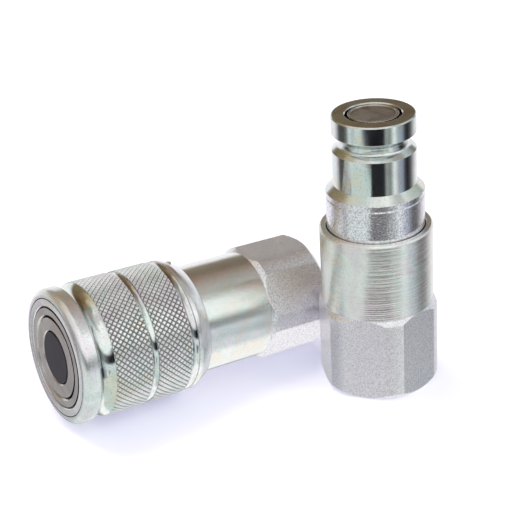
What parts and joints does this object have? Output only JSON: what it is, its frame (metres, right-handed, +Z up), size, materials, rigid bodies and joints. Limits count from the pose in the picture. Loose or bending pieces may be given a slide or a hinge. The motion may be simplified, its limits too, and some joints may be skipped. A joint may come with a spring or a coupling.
{
  "type": "liquid cooling quick coupling",
  "caption": "Flat-face quick coupling in two uncoupled halves: a standing plug with a valved nose and a lying socket with a knurled locking sleeve, each with a hexagon and threaded port.",
  "frame": {"origin": "centre of the plug's port end, on the ground", "axes": "+Z up along the plug's axis towards its nose; the socket lies to the -X side with its mating face towards -X and -Y"},
  "size_m": [0.1001, 0.0617, 0.0687],
  "materials": {
    "zinc_turned": "turned steel, zinc plated and clear passivated",
    "zinc_polished": "finely turned steel, zinc plated and clear passivated",
    "stem_steel": "dark matte steel",
    "plain_steel": "plain machined steel",
    "ball_steel": "polished hardened steel",
    "spring_steel": "drawn spring wire",
    "seal_rubber": "moulded black rubber",
    "backup_plastic": "turned white fluoroplastic"
  },
  "bodies": {
    "root": {"plug_adapter": "zinc_turned", "plug_nose_body": "zinc_polished", "plug_body_seal": "seal_rubber", "plug_spider": "plain_steel", "plug_snap_ring": "plain_steel", "plug_spring": "spring_steel", "socket_adapter": "zinc_turned", "socket_body": "zinc_polished", "socket_body_seal": "seal_rubber", "nose_seal": "seal_rubber", "nose_backup_ring": "backup_plastic", "locking_ball_1": "ball_steel", "locking_ball_2": "ball_steel", "locking_ball_3": "ball_steel", "locking_ball_4": "ball_steel", "locking_ball_5": "ball_steel", "locking_ball_6": "ball_steel", "locking_ball_7": "ball_steel", "locking_ball_8": "ball_steel", "sleeve_spring": "spring_steel", "valve_sleeve_spring": "spring_steel", "stem": "stem_steel", "stem_seal": "seal_rubber", "stem_spider": "plain_steel", "stem_nut": "plain_steel"},
    "plug_poppet": {"plug_poppet": "zinc_polished", "plug_poppet_seal": "seal_rubber"},
    "sleeve_spring_washer": {"sleeve_spring_washer": "plain_steel"},
    "locking_sleeve": {"locking_sleeve": "zinc_turned", "sleeve_pin": "zinc_turned"},
    "valve_sleeve": {"valve_sleeve": "zinc_polished"}
  },
  "joints": [
    {"name": "poppet_slide", "type": "slide", "parent": "root", "child": "plug_poppet", "axis": [0, 0, -1], "range_m": [0, 0.0167], "stiffness_N_per_m": 800, "springref_m": -0.01, "deforming": ["plug_spring"]},
    {"name": "sleeve_slide", "type": "slide", "parent": "root", "child": "sleeve_spring_washer", "axis": [0.8503, 0.521, -0.0745], "range_m": [0, 0.005], "stiffness_N_per_m": 2000, "springref_m": -0.005, "deforming": ["sleeve_spring"]},
    {"name": "sleeve_turn", "type": "hinge", "parent": "sleeve_spring_washer", "child": "locking_sleeve", "pos_m": [-0.06396, -0.00654, 0.01747], "axis": [0.8503, 0.521, -0.0745], "continuous": true},
    {"name": "valve_sleeve_slide", "type": "slide", "parent": "root", "child": "valve_sleeve", "axis": [0.8503, 0.521, -0.0745], "range_m": [0, 0.0167], "stiffness_N_per_m": 800, "springref_m": -0.01, "deforming": ["valve_sleeve_spring"]}
  ]
}
